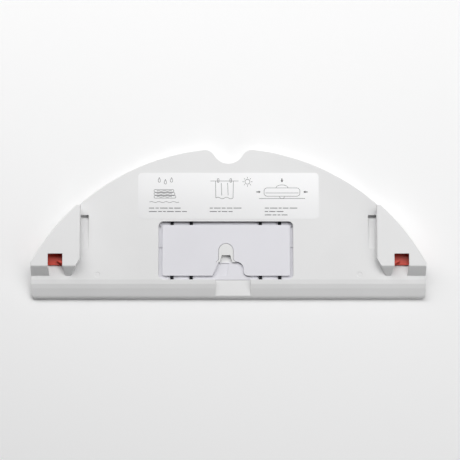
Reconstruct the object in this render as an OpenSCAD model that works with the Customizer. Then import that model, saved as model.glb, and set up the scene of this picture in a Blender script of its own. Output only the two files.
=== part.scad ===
// Mop bracket of a robot vacuum cleaner. A half-round carrier slides under the robot
// on two raised rails and is held by two spring catches. A plate in its middle is
// driven from side to side by the robot's pin and scrubs with the cloth below it.
// Millimetres. +X is the long way, +Y the curved rear edge, +Z up. The part lies on
// its mop side, with the origin in the middle of its footprint.

/* [Carrier] */
// Overall width, side to side
width = 306.6; // [304:0.2:309]
// Overall depth, front edge to the shoulders of the rear notch
depth = 116.6; // [115:0.2:118]
// Radius of the curved rear edge, the same as the robot's own outline
arc_r = 174; // [172:0.5:176]
// Height of the carrier's top face
plate_top = 9.5; // [9.5:0.1:10.5]
// Wall thickness of the two mouldings
wall = 2; // [1.8:0.1:2.2]
// Radius of the two front corners, seen from above
corner_r = 3; // [2:0.5:4]
// Radius along the carrier's upper rear and side edges
edge_r = 0.8; // [0.5:0.1:1]

/* [Rear notch] */
// Distance of each shoulder's centre from the middle
shoulder_x = 19; // [17:0.5:21]
// Radius of the shoulders
shoulder_r = 9; // [7:0.5:10]
// Depth of the notch, from the shoulders to its floor
notch_depth = 11; // [9:0.5:12]

/* [Front bevel] */
// Distance from the front edge at which the bevel begins
bevel_start = 14; // [13:0.2:14]
// Slope of the bevel's flat part, in degrees
bevel_angle = 26.6; // [25:0.2:28]
// Radius that turns the top face into the bevel
bevel_r = 15; // [12:0.5:16]
// Radius that turns the bevel into the front wall
front_r = 3.4; // [3:0.1:3.6]

/* [Ears] */
// Distance of each ear's inner edge from the middle
ear_x = 115; // [114:0.5:116]
// Height of the ears' top face
ear_top = 18.5; // [18:0.1:19]
// Distance from the front edge to the foot of the ears' front ramps
ear_front = 16.9; // [16:0.1:17]
// Distance from the front edge to the ears' rear ends
ear_rear = 71.2; // [70:0.2:72]
// Length of the front ramps, seen from above
ramp_run = 6.4; // [6:0.1:7]
// Depth of the rail groove under each ear's inner lip
groove_depth = 3.5; // [3:0.1:3.6]
// Height of the rail groove
groove_height = 5; // [4.8:0.1:5.2]
// Distance from the front edge to the rear of the gap between an ear's legs
gap_rear = 33.1; // [32.5:0.1:33.5]
// Outer and inner side of that gap, from the middle
gap_outer_x = 140; // [139.5:0.1:140.5]
gap_inner_x = 128.6; // [128:0.1:129]

/* [Window and drive plate] */
// Middle of the window, which is a little off the carrier's own
window_x = -2; // [-2.5:0.1:-1.5]
// Width and depth of the window
window_w = 105; // [104:0.2:106]
window_d = 45.8; // [45:0.2:46]
// Radius of the window's corners
window_r = 4; // [3:0.5:5]
// Width and depth of the drive plate's raised panel
panel_w = 99.4; // [98:0.2:99.4]
panel_d = 39.9; // [39:0.1:40.2]
// Height of the panel's top face, and of the ledge around it
panel_top = 7.6; // [7.4:0.1:8]
ledge_top = 5.3; // [5.2:0.1:5.4]
// How far the drive plate slides to either side
scrub_travel = 2; // [1:0.1:2]

/* [Catches] */
// How far each catch is pushed in
latch_travel = 3.5; // [3:0.1:3.5]
// How far the catch's tooth reaches into the gap
tooth_reach = 4.7; // [4:0.1:5]

/* [Underside] */
// Height of the cover's lower face above the hook strips' face
cover_z = 0.8; // [0.7:0.1:0.9]
// Thickness of the hook strips
strip_t = 1.3; // [1.2:0.1:1.4]
// How far the scrubbing plate's strip stays above the others
scrub_lift = 0.3; // [0.2:0.1:0.4]

/* [Hidden] */

// Colours
SHELL_COLOUR = [0.90, 0.90, 0.90];
INSERT_COLOUR = [0.87, 0.87, 0.91];
RUBBER_COLOUR = [0.04, 0.04, 0.05];
CATCH_COLOUR = [0.78, 0.14, 0.08];
STEEL_COLOUR = [0.62, 0.63, 0.65];
STRIP_COLOUR = [0.80, 0.80, 0.79];
FILM_COLOUR = [0.94, 0.94, 0.95];

// Fineness of the large arc, of ordinary rounds and of small ones
ARC_FN = 360;
ROUND_FN = 64;
SMALL_FN = 32;
// Steps in a quarter of a computed arc
ARC_STEPS = 6;
// Overshoot that lets a cutter pass clean through a face
over = 1;

// Clearances: between sliding faces, and between parts dropped into each other
slide_gap = 0.1;
drop_gap = 0.2;
// Depth by which two shapes of one piece run into each other
fuse = 0.5;

// Carrier
half_w = width / 2;
front_y = -depth / 2;
shoulder_turn = asin(shoulder_x / (arc_r - shoulder_r));
shoulder_y = depth / 2 - shoulder_r;
arc_y = shoulder_y - (arc_r - shoulder_r) * cos(shoulder_turn);
// The notch floor's arc meets both shoulders tangentially
floor_drop = notch_depth - shoulder_r;
notch_r = (shoulder_x * shoulder_x + floor_drop * floor_drop - shoulder_r * shoulder_r)
    / (2 * (shoulder_r + floor_drop));
notch_y = shoulder_y - floor_drop + notch_r;
skin_z = plate_top - wall;
cover_top = cover_z + wall;

// Ears
ramp_angle = atan((ear_top - plate_top) / ramp_run);
groove_x = ear_x + groove_depth;
groove_top = plate_top + groove_height;
chamfer_rear = 29.7;
chamfer_slope = 0.575;
ear_skin_t = 2.2;
ear_skin_z = ear_top - ear_skin_t;
ramp_round_r = 1.5;
lip_round_r = 1.2;
cavity_front = 24.8;
cavity_rear = 50;
cavity_inner_x = groove_x + wall;
gap_lead_in = 2.3;
gap_outer_lead_in = 0.8;
leg_cavity_front = ear_front + 1;

// Ribs under the skin
rib_t = 1.2;
rib_z = cover_top + 0.8;
rib_rows = [70, 88];
rib_columns = [78, 92];
rib_outer_x = 92;
rib_inner_x = 8;
rib_front = 20;

// Latch
latch_z = 9;
latch_plate_t = 2;
latch_end_gap = 0.3;
latch_top = ear_skin_z - slide_gap;
latch_inner_x = cavity_inner_x + latch_travel + latch_end_gap;
latch_front = cavity_front + drop_gap;
latch_rear = cavity_rear - drop_gap;
block_front = gap_rear + 1;
tooth_top = latch_top - 0.8;
tooth_rear = 27.8;
latch_side_gap = 0.3;
flange_r = arc_r - wall - latch_side_gap;
button_r = arc_r - 0.2;
button_front = 30;
button_rear = 43;
button_z = 10.8;
button_top = 15.8;
button_gap = 0.3;
bed_gap = 2;
button_root = 3;
button_reach = 20;
latch_rib_t = 1.6;
latch_rib_y = [27.5, 37, 46];
latch_rib_outer_x = 146;
latch_rib_inner_x = 122;
latch_spine_x = 136;

// Latch spring, a compression spring along X
spring_y = 44;
spring_z = 12.6;
spring_r = 2.1;
spring_wire_r = 0.25;
spring_turns = 8;
spring_pocket_r = 2.8;
spring_pocket_depth = 9.5;
spring_seat_r = 1.5;
spring_seat_len = 2;
// Share of the spring at each end whose turns lie close, and how close
closed_share = 0.12;
closed_pitch = 0.35;

// Recess beside each ear
recess_inner_x = 109;
recess_outer_x = 117;
recess_front = 38;
recess_rear = 64.8;
recess_deep = 3.2;
recess_slit = 2;
recess_slit_deep = 5;
recess_floor_t = 1.2;
recess_backing_front = 44;

// Window, channel and drive plate
window_front = bevel_start;
window_rear = window_front + window_d;
curtain_z = ledge_top + 0.15;
panel_x = -1.7;
panel_front = 17.2;
panel_rear = panel_front + panel_d;
panel_r = 1.5;
flange_z = 4;
flange_side = 3.5;
ledge_rear_gap = 0.5;
// Slits across the side ledges and reliefs in its rear corners
slit_y = [39, 39.7];
slit_deep = 0.8;
relief_y = [54.6, 56.8];
relief_w = 1.6;
relief_side = 0.1;
channel_left = -10.1;
channel_right = 17.3;
channel_z = ledge_top - 0.1;
channel_floor_t = 1;
mark_x = 102;
mark_y = 17.7;
mark_r = 2.1;
mark_deep = 0.2;

// Keyhole and lead-in of the drive plate
key_x = -1.9;
key_r = 5.85;
key_y = 36.9;
key_open = 27.9;
key_foot = 2;
socket_gap = 0.25;
socket_top = panel_top - 0.2;
socket_sink = 0.8;
funnel_end_w = 6.6;
funnel_mouth_w = 9.8;
funnel_depth = 5.5;
lead_left_x = -12.4;
lead_left_top_x = -7.9;
lead_right_x = 5.9;
lead_top = 28.3;
lead_step = 1;
lead_r = 6;
lead_foot_r = 3.6;
facet_deep = 0.7;
facet_margin = 0.8;
facet_right_x = [-1.1, 0.5];

// Glide pads
pad_w = 2.5;
pad_x = [-42, -27, 27, 42];
pad_sink = 0.8;
pad_top = 7;

// Scrubbing plate
scrub_z = cover_z + scrub_lift;
scrub_w = 122;
scrub_front = 17;
scrub_rear = 61.5;
scrub_r = 4;
scrub_lip = 6;
scrub_lip_front = 14.4;
scrub_lip_rear = 64.4;
opening_gap_x = scrub_travel + 0.7;
opening_gap_y = 0.5;

// Cloth slot in the cover
slot_y = 9.5;
slot_mouth = 3;
slot_inner = 6;
slot_inner_h = 1.4;
slot_lip = 1;
slot_half = 132;
slot_roof = 0.9;
slot_wall = 1;
slot_entry = 16;

// Hook strips
arc_strip_in = 151;
arc_strip_out = 166;
arc_strip_from = 112;
arc_strip_to = 143;
front_strip_x = [82, 146];
front_strip_y = [18, 31];
scrub_strip_w = 112;
scrub_strip_y = [24, 50.5];
strip_r = 2;

// Label
label_x = 70.6;
label_front = 61.6;
label_rear = 98.2;
label_r = 3;
label_t = 0.15;

// Screws
screw_r = 1.2;
screw_hole_r = 1.25;
screw_head_r = 2.4;
screw_head_t = 1.4;
boss_r = 3;
bore_roof = 1.2;
screw_point = 1;
cross_len = 2.8;
cross_w = 0.6;
cross_deep = 0.8;
cover_screw_len = skin_z - 2 - cover_z;
plate_screw_len = panel_top - 1 - scrub_z;
plate_hole_roof = 0.8;
cover_screw_at = [[145.5, 9.5], [100, 43], [50, 76], [26, 100.5]];
plate_screw_x = [-47, 43];
plate_screw_y = [20.4, 54];

// Distance from the front edge, as a Y coordinate
function fy(v) = front_y + v;

// Points along an arc
function arc(cx, cy, r, from, to) =
    let (n = max(2, ceil(abs(to - from) / 90 * ARC_STEPS)))
    [for (i = [0:n]) let (a = from + (to - from) * i / n) [cx + r * cos(a), cy + r * sin(a)]];

// Rectangle between two corners with round corners, as exact arcs
module round_rect(x0, y0, x1, y1, r) {
    translate([x0 + r, y0])
        square([x1 - x0 - 2 * r, y1 - y0]);
    translate([x0, y0 + r])
        square([x1 - x0, y1 - y0 - 2 * r]);
    for (x = [x0 + r, x1 - r], y = [y0 + r, y1 - r])
        translate([x, y])
            circle(r = r, $fn = ROUND_FN);
}

// Block between two corners
module block(x0, y0, z0, x1, y1, z1) {
    translate([x0, y0, z0])
        cube([x1 - x0, y1 - y0, z1 - z0]);
}

// A profile in Y and Z, pushed along X over the whole width and more
module along_x(points) {
    rotate([90, 0, 90])
        linear_extrude(width + 4, center = true)
            polygon(points);
}

// A profile in X and Z, pushed along Y over the whole depth and more
module along_y(points) {
    rotate([90, 0, 0])
        linear_extrude(depth + 4, center = true)
            polygon(points);
}

// Both sides of the part
module both_sides() {
    children();
    mirror([1, 0, 0])
        children();
}

// The carrier's outline, moved inwards all round
module outline(inset = 0) {
    difference() {
        intersection() {
            translate([0, arc_y])
                circle(r = arc_r - inset, $fn = ARC_FN);
            round_rect(-half_w + inset, front_y + inset, half_w - inset, depth, corner_r - inset / 2);
        }
        notch(inset);
    }
}

// The rear notch: what lies between the two shoulders and above the floor's arc
module notch(inset) {
    far = 40;
    difference() {
        polygon([
            [-shoulder_x, shoulder_y],
            [-shoulder_x - far * sin(shoulder_turn), shoulder_y + far * cos(shoulder_turn)],
            [shoulder_x + far * sin(shoulder_turn), shoulder_y + far * cos(shoulder_turn)],
            [shoulder_x, shoulder_y],
            [0, notch_y]
        ]);
        for (side = [-1, 1])
            translate([side * shoulder_x, shoulder_y])
                circle(r = shoulder_r - inset, $fn = ROUND_FN * 2);
    }
    translate([0, notch_y])
        circle(r = notch_r + inset, $fn = ROUND_FN * 2);
}

// Side view of the carrier: flat top, curved bevel, rounded front wall
function side_profile(inset, bottom) = concat(
    [[depth, bottom], [depth, plate_top - inset]],
    arc(fy(bevel_start), plate_top - bevel_r, bevel_r - inset, 90, 90 + bevel_angle),
    arc(fy(front_r), front_centre_z(), front_r - inset, 90 + bevel_angle, 180),
    [[fy(inset), bottom]]
);

// Height of the front radius's centre, which makes it tangent to the bevel
function front_centre_z() =
    let (bevel_end_y = bevel_start - bevel_r * sin(bevel_angle))
    let (bevel_end_z = plate_top - bevel_r * (1 - cos(bevel_angle)))
    bevel_end_z - (bevel_end_y - front_r) * tan(bevel_angle) - front_r / cos(bevel_angle);

// Side view of an ear: the front ramp with a rounded top edge
function ramp_profile(inset, bottom) =
    let (start = ear_front + inset / sin(ramp_angle))
    let (top_y = start + (ear_top - plate_top) / tan(ramp_angle))
    let (centre_y = top_y + ramp_round_r * tan(ramp_angle / 2))
    concat(
        [[depth, bottom], [depth, ear_top - inset]],
        arc(fy(centre_y), ear_top - inset - ramp_round_r, ramp_round_r, 90, 90 + ramp_angle),
        [[fy(start), plate_top], [fy(start), bottom]]
    );

// Section of both ears, with the lips' upper edges rounded
function lip_profile() =
    concat(
        [[-ear_x, plate_top - wall]],
        arc(-ear_x - lip_round_r, ear_top - lip_round_r, lip_round_r, 0, 90),
        arc(-half_w + edge_r, ear_top - edge_r, edge_r, 90, 180),
        [[-half_w, plate_top - wall]]
    );

// Solid of revolution about the rear arc's centre, with its top edge rounded
module arc_body(top, bottom) {
    inner_r = 40;
    translate([0, arc_y, 0])
        rotate_extrude($fn = ARC_FN)
            polygon(concat(
                [[inner_r, bottom], [arc_r, bottom]],
                arc(arc_r - edge_r, top - edge_r, edge_r, 0, 90),
                [[inner_r, top]]
            ));
}

// Ear on the left, solid, seen from above
module ear_outline(inset = 0) {
    intersection() {
        outline(inset);
        polygon([
            [-half_w - over, fy(ear_front)],
            [-ear_x - inset - (chamfer_rear - ear_front) * chamfer_slope, fy(ear_front)],
            [-ear_x - inset, fy(chamfer_rear)],
            [-ear_x - inset, fy(ear_rear - inset)],
            [-half_w - over, fy(ear_rear - inset)]
        ]);
    }
}

module ear_body() {
    intersection() {
        translate([0, 0, skin_z])
            linear_extrude(ear_top - skin_z)
                ear_outline();
        along_x(ramp_profile(0, skin_z));
        along_y(lip_profile());
        arc_body(ear_top, skin_z);
    }
}

// Room inside the left ear for the catch, open below
module ear_cavity() {
    intersection() {
        translate([0, 0, skin_z - over])
            linear_extrude(ear_skin_z - skin_z + over)
                outline(wall);
        union() {
            block(-half_w, fy(cavity_front), 0, -cavity_inner_x, fy(cavity_rear), ear_top);
            // Behind the catch the ear is cored out as well
            block(-half_w, fy(cavity_rear + wall), 0, -cavity_inner_x, fy(ear_rear - wall), ear_top);
            // The outer leg in front of the catch
            block(-half_w, fy(leg_cavity_front), 0, -gap_outer_x - wall, fy(cavity_front - wall), ear_top);
        }
        along_x(ramp_profile(wall, 0));
    }
}

// The gap between the left ear's legs, where the robot's pawl comes in
module pawl_gap() {
    translate([0, 0, plate_top])
        linear_extrude(ear_top)
            polygon([
                [-gap_outer_x + gap_outer_lead_in, fy(ear_front - over)],
                [-gap_inner_x + gap_lead_in, fy(ear_front - over)],
                [-gap_inner_x + gap_lead_in, fy(ear_front)],
                [-gap_inner_x, fy(ear_front + ramp_run)],
                [-gap_inner_x, fy(gap_rear)],
                [-gap_outer_x, fy(gap_rear)],
                [-gap_outer_x, fy(ear_front + ramp_run)],
                [-gap_outer_x + gap_outer_lead_in, fy(ear_front)]
            ]);
}

// Sloping recess beside the left ear, with a deeper slit at its rear end
module ear_recess() {
    intersection() {
        block(-recess_outer_x, fy(recess_front), 0, -recess_inner_x, fy(recess_rear), groove_top);
        along_x([
            [fy(recess_front), plate_top],
            [fy(recess_rear - recess_slit), plate_top - recess_deep],
            [fy(recess_rear - recess_slit), plate_top - recess_slit_deep],
            [fy(recess_rear), plate_top - recess_slit_deep],
            [fy(recess_rear), groove_top],
            [fy(recess_front), groove_top]
        ]);
    }
}

// What stays solid below the skin around the left recess
module recess_backing() {
    block(
        -recess_outer_x - wall, fy(recess_backing_front), plate_top - recess_slit_deep - recess_floor_t,
        -recess_inner_x + wall, fy(recess_rear + wall), plate_top - over
    );
}

module screw_bosses() {
    for (p = cover_screw_at)
        translate([-p[0], fy(p[1]), cover_top])
            cylinder(r = boss_r, h = skin_z + over - cover_top, $fn = ROUND_FN);
}

module screw_bores() {
    for (p = cover_screw_at)
        translate([-p[0], fy(p[1]), cover_top - over])
            cylinder(r = screw_hole_r, h = skin_z - bore_roof - cover_top + over, $fn = ROUND_FN);
}

// Stiffening ribs under the skin, on the left
module shell_ribs() {
    for (y = rib_rows)
        block(-rib_outer_x, fy(y), rib_z, -rib_inner_x, fy(y + rib_t), plate_top - over);
    for (x = rib_columns)
        block(-x - rib_t / 2, fy(rib_front), rib_z, -x + rib_t / 2, fy(rib_rows[1]), plate_top - over);
}

// Room below the skin, with what stands in it left over
module shell_cavity() {
    difference() {
        intersection() {
            translate([0, 0, -over])
                linear_extrude(skin_z + over)
                    outline(wall);
            along_x(side_profile(wall, -over));
        }
        both_sides() {
            screw_bosses();
            recess_backing();
            shell_ribs();
        }
        // Curtain wall around the window
        translate([0, 0, curtain_z])
            linear_extrude(plate_top)
                round_rect(
                    window_x - window_w / 2 - wall, fy(window_front - wall),
                    window_x + window_w / 2 + wall, fy(window_rear + wall), window_r + wall
                );
        // Floor and cheeks of the front channel
        block(
            channel_left - wall, front_y - over, channel_z - channel_floor_t,
            channel_right + wall, fy(window_front), plate_top
        );
    }
}

// Opening in the left ear's outer wall for the catch's button
module button_window() {
    block(
        -half_w - over, fy(button_front - button_gap), button_z - button_gap,
        -half_w + button_reach, fy(button_rear + button_gap), button_top + button_gap
    );
}

// Stub that centres the left latch spring on the ear's inner wall
module spring_seat() {
    translate([-cavity_inner_x - spring_seat_len, fy(spring_y), spring_z])
        rotate([0, 90, 0])
            cylinder(r = spring_seat_r, h = spring_seat_len + wall / 2, $fn = ROUND_FN);
}

module top_shell() {
    color(SHELL_COLOUR) {
        difference() {
            union() {
                intersection() {
                    translate([0, 0, cover_z])
                        linear_extrude(plate_top - cover_z)
                            outline();
                    along_x(side_profile(0, 0));
                    arc_body(plate_top, 0);
                }
                both_sides()
                    ear_body();
            }
            shell_cavity();
            both_sides() {
                ear_cavity();
                pawl_gap();
                block(-groove_x, fy(ear_front - over), plate_top, -ear_x + over, fy(ear_rear + over), groove_top);
                ear_recess();
                screw_bores();
                button_window();
                translate([-mark_x, fy(mark_y), plate_top - mark_deep])
                    cylinder(r = mark_r, h = over, $fn = ROUND_FN);
            }
            // The window
            translate([0, 0, -over])
                linear_extrude(plate_top + 2 * over)
                    round_rect(
                        window_x - window_w / 2, fy(window_front),
                        window_x + window_w / 2, fy(window_rear), window_r
                    );
            // The front channel
            block(
                channel_left, front_y - over, channel_z,
                channel_right, fy(window_front + over), plate_top + over
            );
        }
        both_sides()
            spring_seat();
    }
}

// Centres of all cover screws
module at_cover_screws() {
    for (p = cover_screw_at, side = [-1, 1])
        translate([side * p[0], fy(p[1]), cover_z])
            children();
}

// Countersunk self-tapping screw, head down, with a cross recess
module screw(length) {
    difference() {
        union() {
            cylinder(r1 = screw_head_r, r2 = screw_r, h = screw_head_t, $fn = SMALL_FN);
            cylinder(r = screw_r, h = length - screw_point, $fn = SMALL_FN);
            translate([0, 0, length - screw_point])
                cylinder(r1 = screw_r, r2 = screw_r / 3, h = screw_point, $fn = SMALL_FN);
        }
        for (turn = [0, 90])
            rotate([0, 0, turn])
                translate([-cross_len / 2, -cross_w / 2, -over])
                    cube([cross_len, cross_w, over + cross_deep]);
    }
}

module cover_screws() {
    color(STEEL_COLOUR)
        at_cover_screws()
            screw(cover_screw_len);
}

// Seat for a countersunk screw: its cone and the hole past it
module screw_seat() {
    translate([0, 0, -over])
        cylinder(r = screw_head_r + 0.1, h = over, $fn = ROUND_FN);
    cylinder(r1 = screw_head_r + 0.1, r2 = screw_hole_r, h = screw_head_t, $fn = ROUND_FN);
    cylinder(r = screw_hole_r, h = wall * 3, $fn = ROUND_FN);
}

// Outline of a hook strip that follows the rear arc, on the left
module arc_strip_outline() {
    reach = 2 * arc_r;
    translate([0, arc_y])
        intersection() {
            difference() {
                circle(r = arc_strip_out, $fn = ARC_FN);
                circle(r = arc_strip_in, $fn = ARC_FN);
            }
            polygon([
                [0, 0],
                [reach * cos(arc_strip_from), reach * sin(arc_strip_from)],
                [reach * cos(arc_strip_to), reach * sin(arc_strip_to)]
            ]);
        }
}

module front_strip_outline() {
    round_rect(-front_strip_x[1], fy(front_strip_y[0]), -front_strip_x[0], fy(front_strip_y[1]), strip_r);
}

module scrub_strip_outline() {
    round_rect(
        window_x - scrub_strip_w / 2, fy(scrub_strip_y[0]),
        window_x + scrub_strip_w / 2, fy(scrub_strip_y[1]), strip_r
    );
}

// Ribs that carry the left catch
module latch_bed() {
    for (y = latch_rib_y)
        block(
            -latch_rib_outer_x, fy(y), cover_top - fuse,
            -latch_rib_inner_x, fy(y + latch_rib_t), latch_z - slide_gap
        );
    block(
        -latch_spine_x, fy(latch_rib_y[0]), cover_top - fuse,
        -latch_spine_x + latch_rib_t, fy(latch_rib_y[2]), latch_z - slide_gap
    );
}

module bottom_cover() {
    slot_z = cover_z + slot_lip;
    color(SHELL_COLOUR)
        difference() {
            union() {
                intersection() {
                    translate([0, 0, cover_z])
                        linear_extrude(wall)
                            outline(wall + slide_gap);
                    along_x(side_profile(wall + slide_gap, 0));
                }
                both_sides()
                    intersection() {
                        latch_bed();
                        translate([0, 0, cover_z])
                            linear_extrude(ear_top)
                                outline(wall + bed_gap);
                    }
                // Roof of the cloth slot
                block(
                    -slot_half - wall, fy(slot_y - slot_inner / 2 - slot_wall), cover_top - fuse,
                    slot_half + wall, fy(slot_y + slot_inner / 2 + slot_wall), slot_z + slot_inner_h + slot_roof
                );
            }
            // The scrubbing plate's opening
            translate([0, 0, -over])
                linear_extrude(cover_top + 2 * over)
                    round_rect(
                        window_x - scrub_w / 2 - opening_gap_x, fy(scrub_front - opening_gap_y),
                        window_x + scrub_w / 2 + opening_gap_x, fy(scrub_rear + opening_gap_y), scrub_r
                    );
            // The cloth slot: its mouth, the wider room inside and the way in at one end
            block(
                -slot_half, fy(slot_y - slot_mouth / 2), 0,
                slot_half, fy(slot_y + slot_mouth / 2), slot_z + slot_inner_h
            );
            block(
                -slot_half, fy(slot_y - slot_inner / 2), slot_z,
                slot_half, fy(slot_y + slot_inner / 2), slot_z + slot_inner_h
            );
            block(
                -slot_half, fy(slot_y - slot_inner / 2), 0,
                -slot_half + slot_entry, fy(slot_y + slot_inner / 2), slot_z + slot_inner_h
            );
            at_cover_screws()
                screw_seat();
            // Shallow beds of the hook strips
            both_sides()
                linear_extrude(strip_t) {
                    arc_strip_outline();
                    front_strip_outline();
                }
        }
}

module scrub_plate() {
    lip_x = scrub_w / 2 + scrub_lip;
    color(SHELL_COLOUR)
        difference() {
            union() {
                translate([0, 0, scrub_z])
                    linear_extrude(cover_top + slide_gap - scrub_z)
                        round_rect(
                            window_x - scrub_w / 2, fy(scrub_front),
                            window_x + scrub_w / 2, fy(scrub_rear), scrub_r
                        );
                translate([0, 0, cover_top + slide_gap])
                    linear_extrude(flange_z - cover_top - slide_gap)
                        round_rect(window_x - lip_x, fy(scrub_lip_front), window_x + lip_x, fy(scrub_lip_rear), scrub_r);
            }
            translate([0, 0, scrub_z - over])
                linear_extrude(strip_t + scrub_lift - scrub_z + over)
                    scrub_strip_outline();
            at_plate_screws()
                screw_seat();
            translate([0, 0, flange_z - socket_sink])
                linear_extrude(over)
                    socket_outline();
        }
}

module at_plate_screws() {
    for (x = plate_screw_x, y = plate_screw_y)
        translate([x, fy(y), scrub_z])
            children();
}

module plate_screws() {
    color(STEEL_COLOUR)
        at_plate_screws()
            screw(plate_screw_len);
}

module scrub_hook_strip() {
    color(STRIP_COLOUR)
        translate([0, 0, scrub_lift])
            linear_extrude(strip_t)
                scrub_strip_outline();
}

// The keyhole: an arch open to the front, with flared feet
module keyhole(gap = 0) {
    r = key_r - gap;
    translate([key_x, fy(key_y)])
        circle(r = r, $fn = ROUND_FN);
    polygon([
        [key_x - r, fy(key_y)],
        [key_x - r, fy(key_open + key_foot)],
        [key_x - r - key_foot, fy(key_open)],
        [key_x + r + key_foot, fy(key_open)],
        [key_x + r, fy(key_open + key_foot)],
        [key_x + r, fy(key_y)]
    ]);
}

module socket_outline() {
    difference() {
        keyhole(socket_gap);
        polygon([
            [key_x - funnel_mouth_w / 2, fy(key_open - over)],
            [key_x - funnel_mouth_w / 2, fy(key_open)],
            [key_x - funnel_end_w / 2, fy(key_open + funnel_depth)],
            [key_x + funnel_end_w / 2, fy(key_open + funnel_depth)],
            [key_x + funnel_mouth_w / 2, fy(key_open)],
            [key_x + funnel_mouth_w / 2, fy(key_open - over)]
        ]);
    }
}

module drive_socket() {
    color(SHELL_COLOUR)
        translate([0, 0, flange_z - socket_sink])
            linear_extrude(socket_top - flange_z + socket_sink)
                socket_outline();
}

// The lead-in for the robot's pin: straight on the left, an S curve on the right
module lead_in() {
    right_x = lead_right_x + lead_r;
    polygon(concat(
        [
            [lead_left_x, fy(panel_front - over)],
            [lead_left_x, fy(panel_front)],
            [lead_left_top_x, fy(lead_top - lead_step)],
            [lead_left_top_x, fy(lead_top)]
        ],
        arc(lead_right_x, fy(lead_top - lead_r), lead_r, 90, 0),
        arc(right_x + lead_foot_r, fy(panel_front + lead_foot_r), lead_foot_r, 180, 270),
        [[right_x + lead_foot_r, fy(panel_front - over)]]
    ));
}

// Sunk facet in the lead-in's floor
module lead_facet() {
    translate([0, 0, ledge_top - facet_deep])
        linear_extrude(over + facet_deep)
            polygon([
                [lead_left_x, fy(panel_front + facet_margin)],
                [lead_left_top_x, fy(lead_top - lead_step)],
                [facet_right_x[1], fy(lead_top - lead_step)],
                [facet_right_x[0], fy(panel_front + facet_margin)]
            ]);
}

module drive_plate() {
    left = window_x - window_w / 2;
    right = window_x + window_w / 2;
    color(INSERT_COLOUR)
        difference() {
            union() {
                block(
                    left - flange_side, fy(window_front + drop_gap), flange_z,
                    right + flange_side, fy(window_rear - ledge_rear_gap), ledge_top
                );
                translate([0, 0, ledge_top - fuse])
                    linear_extrude(panel_top - ledge_top + fuse)
                        difference() {
                            round_rect(
                                panel_x - panel_w / 2, fy(panel_front),
                                panel_x + panel_w / 2, fy(panel_rear), panel_r
                            );
                            lead_in();
                        }
            }
            translate([0, 0, flange_z - over])
                linear_extrude(panel_top)
                    keyhole();
            lead_facet();
            // Beds of the glide pads
            for (i = [0:3]) {
                glide_pad_body(i, true);
                glide_pad_body(i, false);
            }
            // Slits across the side ledges
            for (x = [left, panel_x + panel_w / 2])
                block(x - flange_side, fy(slit_y[0]), ledge_top - slit_deep, x + flange_side * 2, fy(slit_y[1]), ledge_top);
            // Reliefs at the rear corners of the ledge
            for (x = [left + relief_side, right - relief_side - relief_w])
                block(x, fy(relief_y[0]), flange_z - over, x + relief_w, fy(relief_y[1]), ledge_top + over);
            // Pilot holes of the plate screws
            for (x = plate_screw_x, y = plate_screw_y)
                translate([x, fy(y), flange_z - over])
                    cylinder(r = screw_hole_r, h = panel_top - plate_hole_roof - flange_z + over, $fn = ROUND_FN);
        }
}

// Rubber pad that guides the drive plate against the window's front or rear wall
module glide_pad_body(i, rear) {
    y0 = rear ? panel_rear : window_front + slide_gap;
    y1 = rear ? window_rear - slide_gap : panel_front;
    x = window_x + pad_x[i];
    block(x - pad_w / 2, fy(y0), ledge_top - pad_sink, x + pad_w / 2, fy(y1), pad_top);
}

module glide_pad(i, rear) {
    color(RUBBER_COLOUR)
        glide_pad_body(i, rear);
}

// What a catch may fill behind the ear's curved outer wall
module latch_limit() {
    intersection() {
        translate([0, arc_y])
            circle(r = flange_r, $fn = ARC_FN);
        translate([-half_w + wall + latch_side_gap, front_y])
            square([half_w, depth]);
    }
}

// Catch in the left ear: tooth, plate, spring block and button in one moulding
module left_latch() {
    color(CATCH_COLOUR)
        difference() {
            union() {
                // Plate that closes the gap's floor
                translate([0, 0, latch_z])
                    linear_extrude(latch_plate_t)
                        intersection() {
                            latch_limit();
                            translate([-half_w, fy(latch_front)])
                                square([half_w - latch_inner_x, latch_rear - latch_front]);
                        }
                // Block that takes the spring and bears under the ear's skin
                translate([0, 0, latch_z])
                    linear_extrude(latch_top - latch_z)
                        intersection() {
                            latch_limit();
                            translate([-half_w, fy(block_front)])
                                square([half_w - latch_inner_x, latch_rear - block_front]);
                        }
                // Button, behind the outer wall's window
                translate([0, 0, button_z])
                    linear_extrude(button_top - button_z)
                        intersection() {
                            difference() {
                                translate([0, arc_y])
                                    circle(r = button_r, $fn = ARC_FN);
                                translate([0, arc_y])
                                    circle(r = flange_r - button_root, $fn = ARC_FN);
                            }
                            translate([-half_w, fy(button_front)])
                                square([button_reach, button_rear - button_front]);
                        }
                // Tooth: square to the rear, a ramp to the front
                translate([0, 0, latch_z])
                    linear_extrude(tooth_top - latch_z)
                        polygon([
                            [-latch_inner_x, fy(latch_front)],
                            [-latch_inner_x, fy(tooth_rear)],
                            [-gap_inner_x - tooth_reach, fy(tooth_rear)],
                            [-gap_inner_x, fy(latch_front)]
                        ]);
            }
            // Spring pocket, open to the inner side
            translate([-latch_inner_x - spring_pocket_depth, fy(spring_y), spring_z])
                rotate([0, 90, 0])
                    cylinder(r = spring_pocket_r, h = spring_pocket_depth + over, $fn = ROUND_FN);
        }
}

function spring_length() = latch_inner_x + spring_pocket_depth - cavity_inner_x;

// Centre line of the spring, from the seat to the pocket's end
function spring_point(t) =
    let (free = spring_length() - 2 * spring_wire_r)
    let (end = closed_share * closed_pitch)
    let (open_pitch = (1 - 2 * end) / (1 - 2 * closed_share))
    let (s = t < closed_share ? t * closed_pitch
        : t > 1 - closed_share ? 1 - (1 - t) * closed_pitch
        : end + (t - closed_share) * open_pitch)
    [s * free + spring_wire_r, spring_r * cos(t * spring_turns * 360), spring_r * sin(t * spring_turns * 360)];

function unit(v) = v / norm(v);

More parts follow.
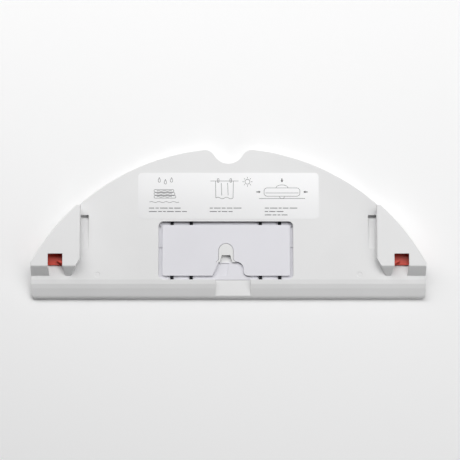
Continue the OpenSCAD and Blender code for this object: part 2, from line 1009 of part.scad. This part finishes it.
// One ring of the wire's surface around a point of the centre line
function wire_ring(t, sides) =
    let (p = spring_point(t))
    let (ahead = unit(spring_point(min(1, t + 0.002)) - spring_point(max(0, t - 0.002))))
    let (out = unit([0, p[1], p[2]]))
    let (side = cross(ahead, out))
    [for (k = [0:sides - 1])
        let (a = 360 * k / sides)
        p + spring_wire_r * (cos(a) * cross(side, ahead) + sin(a) * side)];

module spring_body() {
    sides = 6;
    rings = spring_turns * 14;
    points = [for (i = [0:rings]) each wire_ring(i / rings, sides)];
    tube = [for (i = [0:rings - 1], k = [0:sides - 1])
        let (a = i * sides + k)
        let (b = i * sides + (k + 1) % sides)
        each [[a, b + sides, b], [a, a + sides, b + sides]]];
    caps = [for (k = [1:sides - 2])
        each [[0, k, k + 1], [rings * sides, rings * sides + k + 1, rings * sides + k]]];
    polyhedron(points, concat(tube, caps));
}

module left_latch_spring() {
    color(STEEL_COLOUR)
        translate([-latch_inner_x - spring_pocket_depth, fy(spring_y), spring_z])
            spring_body();
}

module left_arc_hook_strip() {
    color(STRIP_COLOUR)
        linear_extrude(strip_t)
            arc_strip_outline();
}

module left_front_hook_strip() {
    color(STRIP_COLOUR)
        linear_extrude(strip_t)
            front_strip_outline();
}

module instruction_label() {
    color(FILM_COLOUR)
        translate([0, 0, plate_top])
            linear_extrude(label_t)
                round_rect(-label_x, fy(label_front), label_x, fy(label_rear), label_r);
}

// The same piece on the right side
module on_right() {
    mirror([1, 0, 0])
        children();
}

top_shell();
bottom_cover();
drive_plate();
drive_socket();
scrub_plate();
scrub_hook_strip();
plate_screws();
for (i = [0:3]) {
    glide_pad(i, true);
    glide_pad(i, false);
}
left_latch();
on_right() left_latch();  // right_latch
left_latch_spring();
on_right() left_latch_spring();  // right_latch_spring
left_arc_hook_strip();
on_right() left_arc_hook_strip();  // right_arc_hook_strip
left_front_hook_strip();
on_right() left_front_hook_strip();  // right_front_hook_strip
cover_screws();
instruction_label();
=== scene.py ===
"""Mop bracket of a robot vacuum cleaner: materials, label print, coil springs, light and camera."""

import math

import bmesh
import bpy
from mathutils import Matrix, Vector


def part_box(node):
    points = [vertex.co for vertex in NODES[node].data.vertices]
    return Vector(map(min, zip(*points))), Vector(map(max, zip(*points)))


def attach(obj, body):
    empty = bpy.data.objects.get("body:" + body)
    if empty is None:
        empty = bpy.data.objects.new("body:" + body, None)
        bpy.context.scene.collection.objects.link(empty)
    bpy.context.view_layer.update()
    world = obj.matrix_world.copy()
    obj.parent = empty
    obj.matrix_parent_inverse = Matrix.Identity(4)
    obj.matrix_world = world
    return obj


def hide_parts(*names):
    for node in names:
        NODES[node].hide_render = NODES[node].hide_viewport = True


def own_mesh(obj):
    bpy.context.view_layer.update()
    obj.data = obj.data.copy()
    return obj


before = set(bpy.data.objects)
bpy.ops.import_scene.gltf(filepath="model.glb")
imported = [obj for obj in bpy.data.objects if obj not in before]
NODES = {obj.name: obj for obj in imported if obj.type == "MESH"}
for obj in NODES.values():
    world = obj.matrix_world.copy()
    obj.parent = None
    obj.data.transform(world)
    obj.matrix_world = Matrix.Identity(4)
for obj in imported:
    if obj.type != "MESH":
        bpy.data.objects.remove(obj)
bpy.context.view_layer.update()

MM = 0.001

# Label film
LABEL_LOW, LABEL_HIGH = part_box("instruction_label")
LABEL_TOP = LABEL_HIGH.z

# Camera: a long lens, looking down from slightly in front
CAMERA_ELEVATION = math.radians(81)
CAMERA_DISTANCE = 1.7
VIEW_WIDTH = 460 * 0.78 * MM
AIM = Vector((1.25 * MM, -5.4 * MM, 9.5 * MM))

# Soft boxes round the object
LAMP_DISTANCE = 1.4
LAMP_SIZE = 0.9


# Materials


def new_material(name):
    """An empty material with one Principled shader: (material, nodes, links, shader)."""
    material = bpy.data.materials.new(name)
    material.use_nodes = True
    nodes = material.node_tree.nodes
    links = material.node_tree.links
    return material, nodes, links, nodes["Principled BSDF"]


def noise(nodes, links, scale, detail=3.0, roughness=0.5):
    """A noise texture in object space, its scale in features per metre."""
    place = nodes.new("ShaderNodeTexCoord")
    texture = nodes.new("ShaderNodeTexNoise")
    texture.inputs["Scale"].default_value = scale
    texture.inputs["Detail"].default_value = detail
    texture.inputs["Roughness"].default_value = roughness
    links.new(place.outputs["Object"], texture.inputs["Vector"])
    return texture


def spread(nodes, links, texture, low, high):
    """A texture's middle range, spread between two values."""
    spreader = nodes.new("ShaderNodeMapRange")
    spreader.inputs["From Min"].default_value = 0.35
    spreader.inputs["From Max"].default_value = 0.65
    spreader.inputs["To Min"].default_value = low
    spreader.inputs["To Max"].default_value = high
    links.new(texture.outputs["Fac"], spreader.inputs["Value"])
    return spreader.outputs["Result"]


def blend_colours(nodes, links, factor, first, second):
    """A colour between two, by a factor."""
    mix = nodes.new("ShaderNodeMix")
    mix.data_type = "RGBA"
    mix.inputs["A"].default_value = (*first, 1)
    mix.inputs["B"].default_value = (*second, 1)
    links.new(factor, mix.inputs["Factor"])
    return mix.outputs["Result"]


def shaded(colour, factor):
    return tuple(min(1.0, c * factor) for c in colour)


def moulded_plastic(name, colour, roughness, grain=0.12, edge=0.25, grain_scale=2600):
    """Injection-moulded plastic: a fine eroded grain, faint flow clouds and softly rounded edges."""
    material, nodes, links, shader = new_material(name)
    clouds = noise(nodes, links, 22, 2.0)
    factor = spread(nodes, links, clouds, 0.0, 1.0)
    links.new(
        blend_colours(nodes, links, factor, shaded(colour, 0.985), shaded(colour, 1.012)),
        shader.inputs["Base Color"],
    )
    fine = noise(nodes, links, grain_scale, 2.0)
    links.new(
        spread(nodes, links, fine, roughness - 0.04, roughness + 0.04), shader.inputs["Roughness"]
    )
    rounded = nodes.new("ShaderNodeBevel")
    rounded.samples = 6
    rounded.inputs["Radius"].default_value = edge * MM
    bump = nodes.new("ShaderNodeBump")
    bump.inputs["Strength"].default_value = grain
    bump.inputs["Distance"].default_value = 0.05 * MM
    links.new(fine.outputs["Fac"], bump.inputs["Height"])
    links.new(rounded.outputs["Normal"], bump.inputs["Normal"])
    links.new(bump.outputs["Normal"], shader.inputs["Normal"])
    shader.inputs["Specular IOR Level"].default_value = 0.4
    return material


def rubber():
    """Matt black rubber with a dusty bloom."""
    material, nodes, links, shader = new_material("rubber")
    bloom = noise(nodes, links, 900, 4.0, 0.7)
    links.new(
        blend_colours(
            nodes, links, spread(nodes, links, bloom, 0.0, 1.0), (0.004, 0.004, 0.006), (0.013, 0.013, 0.017)
        ),
        shader.inputs["Base Color"],
    )
    links.new(spread(nodes, links, bloom, 0.75, 0.9), shader.inputs["Roughness"])
    shader.inputs["Specular IOR Level"].default_value = 0.2
    return material


def steel(name, colour, roughness, drawn_scale):
    """Drawn and turned steel, with fine marks."""
    material, nodes, links, shader = new_material(name)
    marks = noise(nodes, links, drawn_scale, 3.0, 0.6)
    links.new(
        blend_colours(
            nodes, links, spread(nodes, links, marks, 0.0, 1.0), shaded(colour, 0.85), shaded(colour, 1.08)
        ),
        shader.inputs["Base Color"],
    )
    links.new(
        spread(nodes, links, marks, roughness - 0.08, roughness + 0.08), shader.inputs["Roughness"]
    )
    shader.inputs["Metallic"].default_value = 1.0
    return material


def hook_nylon(name, colour, roughness):
    """Nylon of the hook tape, with a woven ground."""
    material, nodes, links, shader = new_material(name)
    place = nodes.new("ShaderNodeTexCoord")
    weave = nodes.new("ShaderNodeTexWave")
    weave.wave_type = "BANDS"
    weave.bands_direction = "X"
    weave.inputs["Scale"].default_value = 700
    weave.inputs["Distortion"].default_value = 1.5
    links.new(place.outputs["Object"], weave.inputs["Vector"])
    links.new(
        blend_colours(nodes, links, weave.outputs["Fac"], shaded(colour, 0.86), colour),
        shader.inputs["Base Color"],
    )
    bump = nodes.new("ShaderNodeBump")
    bump.inputs["Strength"].default_value = 0.4
    bump.inputs["Distance"].default_value = 0.1 * MM
    links.new(weave.outputs["Fac"], bump.inputs["Height"])
    links.new(bump.outputs["Normal"], shader.inputs["Normal"])
    shader.inputs["Roughness"].default_value = roughness
    shader.inputs["Specular IOR Level"].default_value = 0.4
    return material


def label_film():
    """Printed film, its colour lighter towards its rear edge and its right end as painted light, with a
    faint orange peel.
    """
    material, nodes, links, shader = new_material("label_film")
    place = nodes.new("ShaderNodeTexCoord")
    parts = nodes.new("ShaderNodeSeparateXYZ")
    links.new(place.outputs["Object"], parts.inputs["Vector"])
    across = nodes.new("ShaderNodeMapRange")
    across.interpolation_type = "SMOOTHSTEP"
    across.inputs["From Min"].default_value = LABEL_LOW.y
    across.inputs["From Max"].default_value = LABEL_HIGH.y
    links.new(parts.outputs["Y"], across.inputs["Value"])
    along = nodes.new("ShaderNodeMapRange")
    along.inputs["From Min"].default_value = LABEL_LOW.x
    along.inputs["From Max"].default_value = LABEL_HIGH.x
    along.inputs["To Min"].default_value = 0.0
    along.inputs["To Max"].default_value = 0.35
    links.new(parts.outputs["X"], along.inputs["Value"])
    # painted light: the film's colour is made lighter towards its rear edge and its right end
    painted_light_share = nodes.new("ShaderNodeMath")
    painted_light_share.operation = "MULTIPLY_ADD"
    painted_light_share.inputs[1].default_value = 0.65
    links.new(across.outputs["Result"], painted_light_share.inputs[0])
    links.new(along.outputs["Result"], painted_light_share.inputs[2])
    links.new(
        blend_colours(nodes, links, painted_light_share.outputs["Value"], (0.78, 0.78, 0.785), (0.93, 0.93, 0.935)),
        shader.inputs["Base Color"],
    )
    peel = noise(nodes, links, 500, 2.0)
    bump = nodes.new("ShaderNodeBump")
    bump.inputs["Strength"].default_value = 0.05
    bump.inputs["Distance"].default_value = 0.02 * MM
    links.new(peel.outputs["Fac"], bump.inputs["Height"])
    links.new(bump.outputs["Normal"], shader.inputs["Normal"])
    shader.inputs["Roughness"].default_value = 0.3
    shader.inputs["Specular IOR Level"].default_value = 0.5
    return material


def ink(name, dark, light):
    """Printing ink, a little uneven."""
    material, nodes, links, shader = new_material(name)
    patches = noise(nodes, links, 1500, 3.0)
    links.new(
        blend_colours(nodes, links, spread(nodes, links, patches, 0.0, 1.0), dark, light),
        shader.inputs["Base Color"],
    )
    links.new(spread(nodes, links, patches, 0.4, 0.55), shader.inputs["Roughness"])
    return material


def give(material, *names):
    """Puts a material on CAD nodes."""
    for name in names:
        materials = NODES[name].data.materials
        if not materials:
            materials.append(material)
        for place in range(len(materials)):
            materials[place] = material


SHELL_COLOUR = (0.80, 0.80, 0.80)
SOCKET_COLOUR = (0.78, 0.78, 0.775)
INSERT_COLOUR = (0.765, 0.76, 0.80)
CATCH_COLOUR = (0.60, 0.045, 0.02)

shell_plastic = moulded_plastic("shell_plastic", SHELL_COLOUR, 0.48)
cover_plastic = moulded_plastic("cover_plastic", shaded(SHELL_COLOUR, 0.98), 0.5)
insert_plastic = moulded_plastic("insert_plastic", INSERT_COLOUR, 0.42, edge=0.2)
socket_plastic = moulded_plastic("socket_plastic", SOCKET_COLOUR, 0.4, edge=0.2)
catch_plastic = moulded_plastic("catch_plastic", CATCH_COLOUR, 0.4, edge=0.2)
screw_steel = steel("screw_steel", (0.55, 0.55, 0.57), 0.35, 1800)
spring_steel = steel("spring_steel", (0.48, 0.48, 0.50), 0.3, 2600)
tape_ground = hook_nylon("tape_ground", (0.62, 0.62, 0.60), 0.7)
black_rubber = rubber()
grey_ink = ink("grey_ink", (0.10, 0.10, 0.105), (0.16, 0.16, 0.165))
black_ink = ink("black_ink", (0.012, 0.012, 0.014), (0.03, 0.03, 0.034))

give(shell_plastic, "top_shell")
give(cover_plastic, "bottom_cover", "scrub_plate")
give(insert_plastic, "drive_plate")
give(socket_plastic, "drive_socket")
give(catch_plastic, "left_latch", "right_latch")
give(screw_steel, "cover_screws", "plate_screws")
give(label_film(), "instruction_label")
give(black_rubber, *[f"{side}_glide_pad_{i}" for side in ("rear", "front") for i in range(1, 5)])
give(
    tape_ground,
    "scrub_hook_strip",
    "left_arc_hook_strip",
    "right_arc_hook_strip",
    "left_front_hook_strip",
    "right_front_hook_strip",
)
give(spring_steel, "left_latch_spring", "right_latch_spring")


# Pieces


def piece_from(name, mesh_data, material):
    """A new object from a bmesh, with one material."""
    mesh = bpy.data.meshes.new(name)
    mesh_data.to_mesh(mesh)
    mesh_data.free()
    mesh.materials.append(material)
    piece = bpy.data.objects.new(name, mesh)
    bpy.context.scene.collection.objects.link(piece)
    return piece


# Label print

PRINT_LIFT = 0.02 * MM
PRINT_HEIGHT = 0.015 * MM
LINE_WIDTH = 0.34 * MM


def label_point(x, y):
    """A point of the label, from millimetres off its lower left corner."""
    return Vector((LABEL_LOW.x + x * MM, LABEL_LOW.y + y * MM, LABEL_TOP + PRINT_LIFT))


def arc_points(cx, cy, rx, ry, start, end, steps=24):
    turns = [math.radians(start + (end - start) * i / steps) for i in range(steps + 1)]
    return [(cx + rx * math.cos(t), cy + ry * math.sin(t)) for t in turns]


def wave_points(x0, x1, y, height, waves, steps=32):
    return [
        (x0 + (x1 - x0) * i / steps, y + height * math.sin(2 * math.pi * waves * i / steps))
        for i in range(steps + 1)
    ]


def drop_points(cx, cy, r, steps=28):
    """Outline of a drop: round below, drawn to a point above."""
    points = []
    for i in range(steps + 1):
        t = 2 * math.pi * i / steps
        width = r * math.sin(t) * math.sin(t / 2) ** 1.5
        points.append((cx + width, cy + 1.5 * r * math.cos(t)))
    return points


def rounded_box_points(x0, y0, x1, y1, r):
    return (
        arc_points(x1 - r, y1 - r, r, r, 0, 90, 6)
        + arc_points(x0 + r, y1 - r, r, r, 90, 180, 6)
        + arc_points(x0 + r, y0 + r, r, r, 180, 270, 6)
        + arc_points(x1 - r, y0 + r, r, r, 270, 360, 6)
        + [(x1, y1 - r)]
    )


def ribbon(mesh_data, points, width):
    """A flat band of ink along points given in label millimetres."""
    spots = [label_point(*p) for p in points]
    rows = []
    for i, spot in enumerate(spots):
        ahead = spots[min(i + 1, len(spots) - 1)] - spots[max(i - 1, 0)]
        side = Vector((-ahead.y, ahead.x, 0)).normalized() * width / 2
        rows.append((mesh_data.verts.new(spot - side), mesh_data.verts.new(spot + side)))
    for (a, b), (c, d) in zip(rows, rows[1:]):
        mesh_data.faces.new((a, c, d, b))


def filled(mesh_data, points):
    """A flat patch of ink inside an outline."""
    mesh_data.faces.new([mesh_data.verts.new(label_point(*p)) for p in points])


def printed(name, strokes, patches, material, width=LINE_WIDTH):
    """One print motif: its lines and its filled shapes, as thin raised ink."""
    mesh_data = bmesh.new()
    for points in strokes:
        ribbon(mesh_data, points, width)
    for points in patches:
        filled(mesh_data, points)
    mesh_data.normal_update()
    flat = list(mesh_data.faces)
    raised = bmesh.ops.extrude_face_region(mesh_data, geom=flat)
    for vert in (v for v in raised["geom"] if isinstance(v, bmesh.types.BMVert)):
        vert.co.z += PRINT_HEIGHT
    bmesh.ops.recalc_face_normals(mesh_data, faces=mesh_data.faces)
    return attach(piece_from(name, mesh_data, material), "carrier")


def arrow_points(x, y, length, turn):
    """Outline of a short fat arrow whose tip is at x, y."""
    outline = [
        (0, 0), (-1.6, 1.1), (-1.45, 0.42), (-length, 0.3),
        (-length, -0.3), (-1.45, -0.42), (-1.6, -1.1),
    ]
    c, s = math.cos(math.radians(turn)), math.sin(math.radians(turn))
    return [(x + c * px - s * py, y + s * px + c * py) for px, py in outline]


def folded_cloth(x, y):
    """A cloth folded in three, drawn from the side."""
    layers = [rounded_box_points(x, y + 2.4 * i, x + 17 - 0.8 * i, y + 2 + 2.4 * i, 0.9) for i in range(3)]
    folds = [wave_points(x + 2, x + 14, y + 1 + 2.4 * i, 0.25, 2.5) for i in range(3)]
    return layers + folds


def hung_cloth(x, y):
    """A cloth over a line, with two pegs."""
    line = [(x - 4, y + 15.5), (x + 18, y + 15.5)]
    hem = wave_points(x + 0.3, x + 13.7, y + 2, 0.6, 2)
    sheet = [(x, y + 15.2), (x + 0.3, y + 2)] + hem + [(x + 14, y + 15.2)]
    folds = [[(x + k, y + 14), (x + k + 0.4, y + 4)] for k in (4.5, 9.5)]
    pegs = [rounded_box_points(x + k, y + 14.4, x + k + 1.2, y + 17.4, 0.4) for k in (1.5, 11.3)]
    return [line, sheet] + folds + pegs


def low_machine(x, y):
    """A low round machine on a floor line, drawn from the side."""
    body = rounded_box_points(x, y + 1.8, x + 28, y + 8.4, 2.4)
    turret = arc_points(x + 14, y + 8.4, 4.6, 2.4, 0, 180, 16)
    wheel = arc_points(x + 14, y + 2.2, 2.2, 2.2, 200, 340, 12)
    floor = [(x - 4, y), (x + 32, y)]
    band = [(x + 1, y + 4.4), (x + 27, y + 4.4)]
    return [body, turret, wheel, floor, band]


def words(x, y, lengths):
    """A row of short dashes that stands for a line of print."""
    strokes = []
    for length in lengths:
        strokes.append([(x, y), (x + length, y)])
        x += length + 0.9
    return strokes


def label_print():
    """Generic care pictures and rows of dashes; they name and tell nothing."""
    drops = [drop_points(16.5 + 4.8 * i, 31 - 1.4 * (i % 2), 1.25) for i in range(3)]
    puddle = [wave_points(9, 32, 13.4, 0.35, 4)]
    printed("print_cloth_and_drops", folded_cloth(12.5, 16.5) + drops + puddle, [], grey_ink)
    sun = [arc_points(85.5, 29.5, 1.9, 1.9, 0, 360)]
    rays = [
        [
            (85.5 + 2.7 * math.cos(t), 29.5 + 2.7 * math.sin(t)),
            (85.5 + 3.9 * math.cos(t), 29.5 + 3.9 * math.sin(t)),
        ]
        for t in (math.radians(45 * k) for k in range(8))
    ]
    printed("print_hung_cloth", hung_cloth(60.5, 14.6) + sun + rays, [], grey_ink)
    printed("print_machine", low_machine(98.5, 16.2), [], grey_ink)
    arrows = [
        arrow_points(95.8, 21.4, 3.4, 0),
        arrow_points(129.2, 21.4, 3.4, 180),
        arrow_points(112.5, 29.0, 3.2, -90),
    ]
    printed("print_arrows", [], arrows, black_ink)
    rows = [
        (8.5, 8.6, (4.2, 2.6, 6.0, 3.4, 5.0)),
        (8.5, 5.9, (6.2, 3.0, 2.2, 5.4, 4.6, 3.8)),
        (56.0, 8.6, (2.4, 5.2, 3.0, 4.4, 6.2)),
        (56.0, 5.9, (5.6, 2.0, 4.4, 3.2)),
        (99.0, 8.6, (3.2, 5.8, 2.4, 4.4, 6.0)),
        (99.0, 5.9, (2.6, 4.8, 5.4)),
        (99.0, 3.2, (5.2, 3.0, 2.2, 4.6)),
    ]
    dashes = [stroke for x, y, lengths in rows for stroke in words(x, y, lengths)]
    printed("print_dashes", dashes, [], grey_ink, 0.62 * MM)


label_print()


# Coil springs of the catches

SPRING_TURNS = 8
SPRING_WIRE = 0.25 * MM
SPRING_SIDES = 10
SPRING_STEPS = 40
CLOSED_SHARE = 0.12
CLOSED_PITCH = 0.35


def coil_spring(side):
    """The catch's compression spring, ends closed, in the space of its CAD solid."""
    low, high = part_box(f"{side}_latch_spring")
    centre = (low + high) / 2
    radius = (high.z - low.z) / 2 - SPRING_WIRE
    length = high.x - low.x - 2 * SPRING_WIRE
    end = CLOSED_SHARE * CLOSED_PITCH
    open_pitch = (1 - 2 * end) / (1 - 2 * CLOSED_SHARE)

    def along(t):
        if t < CLOSED_SHARE:
            return t * CLOSED_PITCH
        if t > 1 - CLOSED_SHARE:
            return 1 - (1 - t) * CLOSED_PITCH
        return end + (t - CLOSED_SHARE) * open_pitch

    def point(t):
        turn = 2 * math.pi * SPRING_TURNS * t
        return Vector(
            (
                low.x + SPRING_WIRE + along(t) * length,
                centre.y + radius * math.cos(turn),
                centre.z + radius * math.sin(turn),
            )
        )

    mesh_data = bmesh.new()
    rings = []
    count = SPRING_TURNS * SPRING_STEPS
    for i in range(count + 1):
        t = i / count
        spot = point(t)
        ahead = (point(min(1, t + 0.001)) - point(max(0, t - 0.001))).normalized()
        out = Vector((0, spot.y - centre.y, spot.z - centre.z)).normalized()
        up = ahead.cross(out).normalized()
        out = up.cross(ahead)
        rings.append(
            [
                mesh_data.verts.new(
                    spot + SPRING_WIRE * (out * math.cos(a) + up * math.sin(a))
                )
                for a in (2 * math.pi * k / SPRING_SIDES for k in range(SPRING_SIDES))
            ]
        )
    for first, second in zip(rings, rings[1:]):
        for k in range(SPRING_SIDES):
            n = (k + 1) % SPRING_SIDES
            mesh_data.faces.new((first[k], second[k], second[n], first[n]))
    mesh_data.faces.new(rings[0])
    mesh_data.faces.new(list(reversed(rings[-1])))
    bmesh.ops.recalc_face_normals(mesh_data, faces=mesh_data.faces)
    for face in mesh_data.faces:
        face.smooth = len(face.verts) == 4
    spring = piece_from(f"{side}_coil_spring", mesh_data, spring_steel)
    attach(spring, "carrier")
    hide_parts(f"{side}_latch_spring")
    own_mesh(spring)


coil_spring("left")
coil_spring("right")


# Stage, light and camera


def stage_floor():
    """A pale seamless floor, its colour darker towards the front as painted shade."""
    bpy.ops.mesh.primitive_plane_add(size=6, location=(0, 0, -0.02 * MM))
    floor = bpy.context.object
    floor.name = "floor"
    material, nodes, links, shader = new_material("floor_paper")
    place = nodes.new("ShaderNodeTexCoord")
    parts = nodes.new("ShaderNodeSeparateXYZ")
    links.new(place.outputs["Object"], parts.inputs["Vector"])
    # painted shade: the floor's colour darkens towards the front
    painted_shade_fade = nodes.new("ShaderNodeMapRange")
    painted_shade_fade.inputs["From Min"].default_value = -0.18
    painted_shade_fade.inputs["From Max"].default_value = 0.16
    links.new(parts.outputs["Y"], painted_shade_fade.inputs["Value"])
    links.new(
        blend_colours(nodes, links, painted_shade_fade.outputs["Result"], (0.95, 0.95, 0.95), (0.99, 0.99, 0.99)),
        shader.inputs["Base Color"],
    )
    shader.inputs["Roughness"].default_value = 0.9
    shader.inputs["Specular IOR Level"].default_value = 0.1
    floor.data.materials.append(material)


def area_lamp(name, bearing, elevation, strength):
    """A soft box 1.4 m away that looks at the object: bearing in degrees from the rear towards the right."""
    lamp = bpy.data.lights.new(name, "AREA")
    lamp.shape = "SQUARE"
    lamp.size = LAMP_SIZE
    lamp.energy = strength
    holder = bpy.data.objects.new(name, lamp)
    a, e = math.radians(bearing), math.radians(elevation)
    away = Vector((math.cos(e) * math.sin(a), math.cos(e) * math.cos(a), math.sin(e)))
    holder.location = LAMP_DISTANCE * away
    holder.rotation_euler = (-away).to_track_quat("-Z", "Y").to_euler()
    bpy.context.scene.collection.objects.link(holder)


def studio_light():
    """Soft boxes behind and above the object, a weaker one to its front right, and a dim even surround."""
    area_lamp("rear_left_box", -45, 45, 7.2)
    area_lamp("rear_box", 0, 65, 7.5)
    area_lamp("rear_right_box", 45, 65, 5.1)
    area_lamp("right_box", 90, 45, 2.4)
    area_lamp("front_right_box", 135, 25, 2.8)
    world = bpy.data.worlds.new("surround")
    world.use_nodes = True
    background = world.node_tree.nodes["Background"]
    background.inputs["Color"].default_value = (0.95, 0.95, 1.0, 1)
    background.inputs["Strength"].default_value = 0.02
    bpy.context.scene.world = world


def add_camera():
    lens = bpy.data.cameras.new("main_camera")
    lens.sensor_width = 36
    lens.lens = 36 * CAMERA_DISTANCE / VIEW_WIDTH
    lens.clip_end = 20
    camera = bpy.data.objects.new("main_camera", lens)
    back = Vector((0, -math.cos(CAMERA_ELEVATION), math.sin(CAMERA_ELEVATION)))
    camera.location = AIM + back * CAMERA_DISTANCE
    camera.rotation_euler = (-back).to_track_quat("-Z", "Y").to_euler()
    bpy.context.scene.collection.objects.link(camera)
    bpy.context.scene.camera = camera


stage_floor()
studio_light()
add_camera()
bpy.context.scene.view_settings.view_transform = "Standard"
